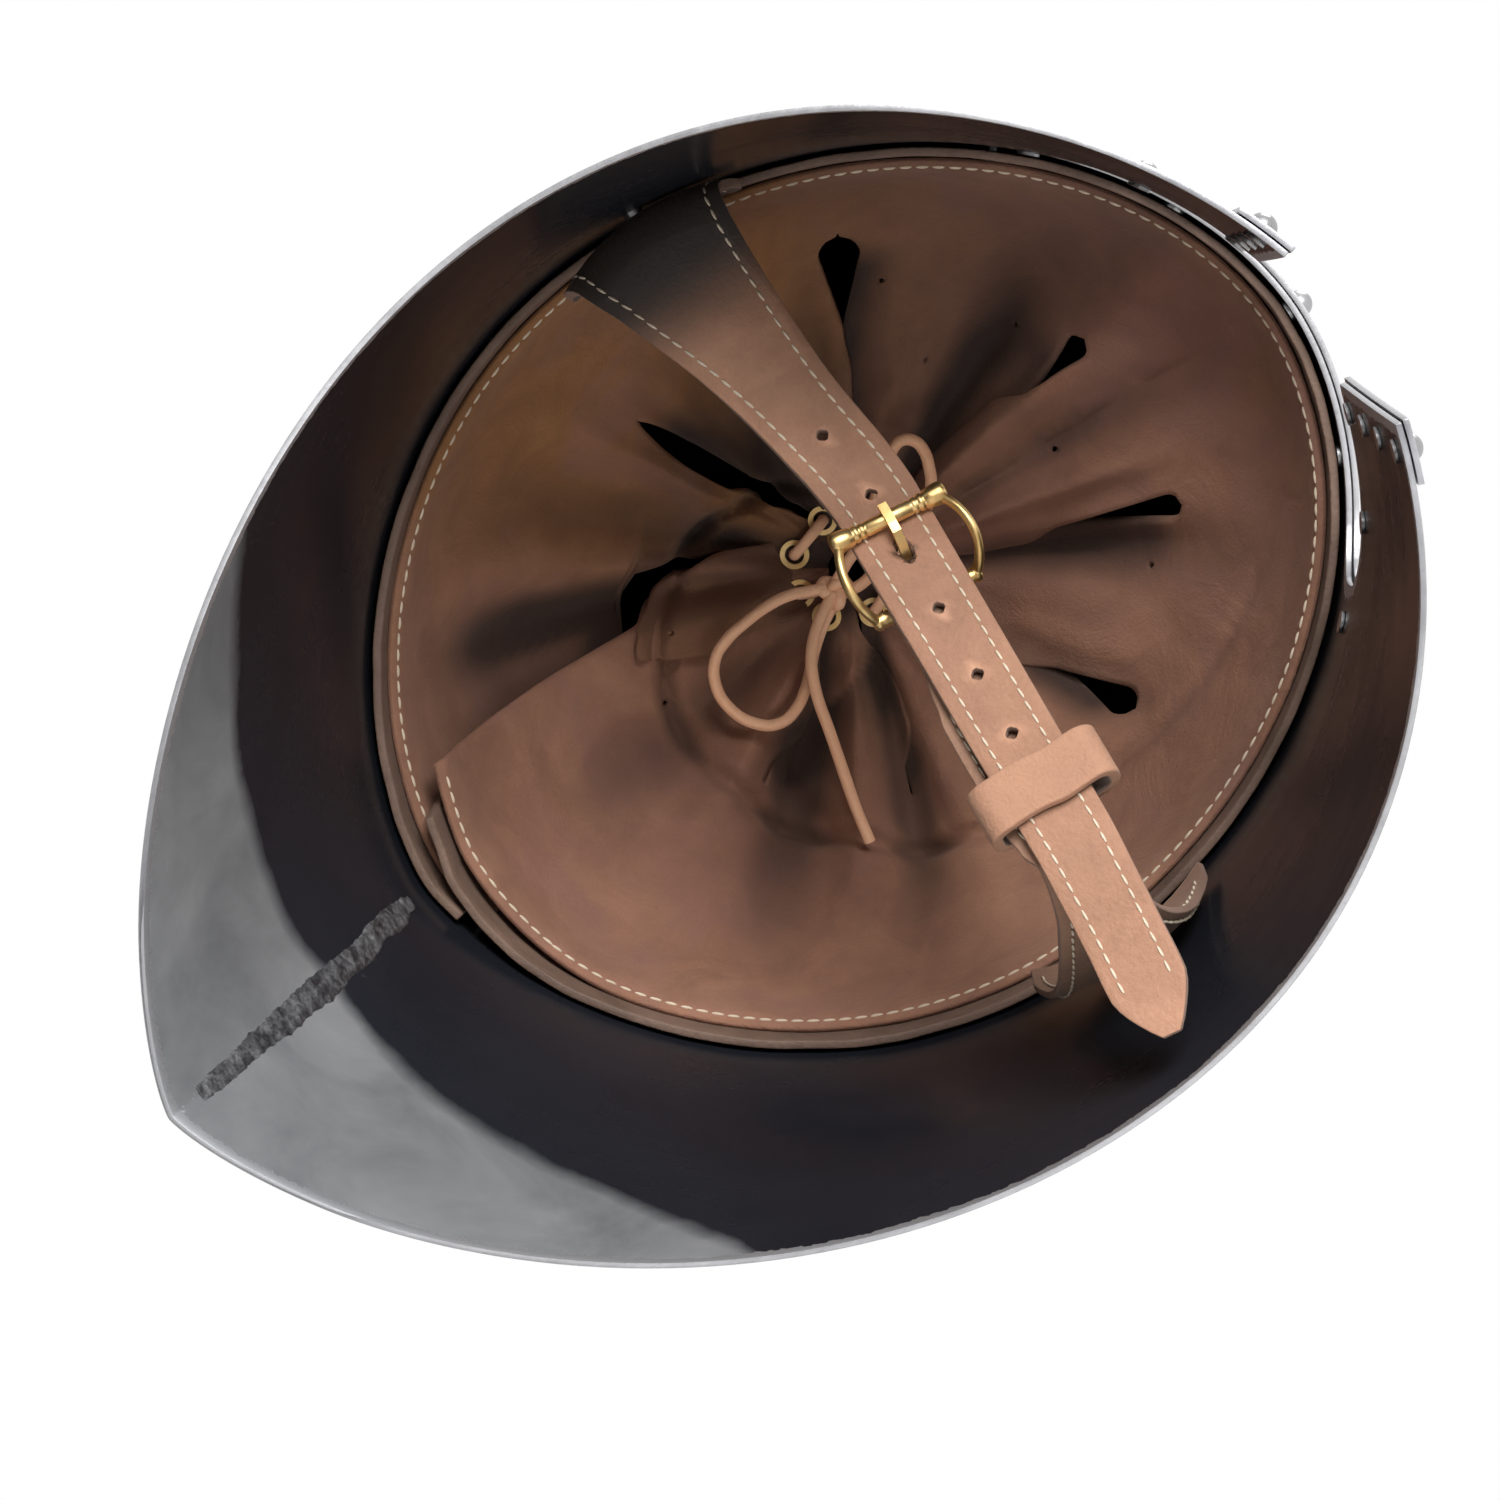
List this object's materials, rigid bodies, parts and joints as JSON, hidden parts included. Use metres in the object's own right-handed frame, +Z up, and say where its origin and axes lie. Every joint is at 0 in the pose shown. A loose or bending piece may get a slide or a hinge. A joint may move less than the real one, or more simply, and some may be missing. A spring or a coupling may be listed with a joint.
{
  "type": "barbute helmet",
  "caption": "Close fitting steel barbute with a T-shaped face opening, a riveted face band, a laced suede liner and a buckled leather chin strap.",
  "frame": {"origin": "on the plane of the rim's flats, at the middle of the helmet's length and width", "axes": "+Z up as worn, -Y towards the face opening, +X towards the wearer's left"},
  "size_m": [0.2228, 0.2828, 0.297],
  "materials": {
    "skull_steel": "bright steel outside, glossy black paint inside",
    "band_steel": "polished steel with fine scratches",
    "rivet_steel": "polished dome heads",
    "washer_steel": "dull steel",
    "band_leather": "dark brown split leather",
    "liner_suede": "reddish brown suede, stitched with cream thread",
    "eyelet_brass": "polished",
    "lace_suede": "tan suede lace",
    "strap_leather": "tan leather with a mottled grain",
    "buckle_brass": "polished",
    "keeper_leather": "tan leather"
  },
  "bodies": {
    "helmet": {"skull_shell": "skull_steel", "face_band": "band_steel", "face_band_rivets": "rivet_steel", "leather_band": "band_leather", "liner_rivets": "rivet_steel", "liner_washers": "washer_steel", "suede_liner": "liner_suede", "tongue_eyelets": "eyelet_brass", "lace_gather": "lace_suede", "lace_knot": "lace_suede", "lace_long_loop": "lace_suede", "lace_short_loop": "lace_suede", "lace_tail": "lace_suede", "billet_anchor_rivet": "rivet_steel", "billet_anchor_washer": "washer_steel", "chape_anchor_rivet": "rivet_steel", "chape_anchor_washer": "washer_steel"},
    "chin_strap": {"billet_strap": "strap_leather", "chape_strap": "strap_leather"},
    "buckle": {"buckle_frame": "buckle_brass"},
    "tongue": {"buckle_tongue": "buckle_brass"},
    "keeper": {"strap_keeper": "keeper_leather"}
  },
  "joints": [
    {"name": "strap_swing", "type": "hinge", "parent": "helmet", "child": "chin_strap", "pos_m": [0, -0.0284, 0.106], "axis": [1, 0, 0], "range_deg": [-12, 25]},
    {"name": "buckle_lift", "type": "hinge", "parent": "chin_strap", "child": "buckle", "pos_m": [0.00376, -0.03749, 0.07433], "axis": [0.1423, -0.962, 0.233], "range_deg": [0, 3]},
    {"name": "tongue_lift", "type": "hinge", "parent": "buckle", "child": "tongue", "pos_m": [0.00376, -0.03749, 0.07433], "axis": [0.1423, -0.962, 0.233], "range_deg": [0, 2]},
    {"name": "keeper_slide", "type": "slide", "parent": "chin_strap", "child": "keeper", "axis": [0.8713, 0.01, -0.4907], "range_m": [-0.008, 0.008]}
  ]
}
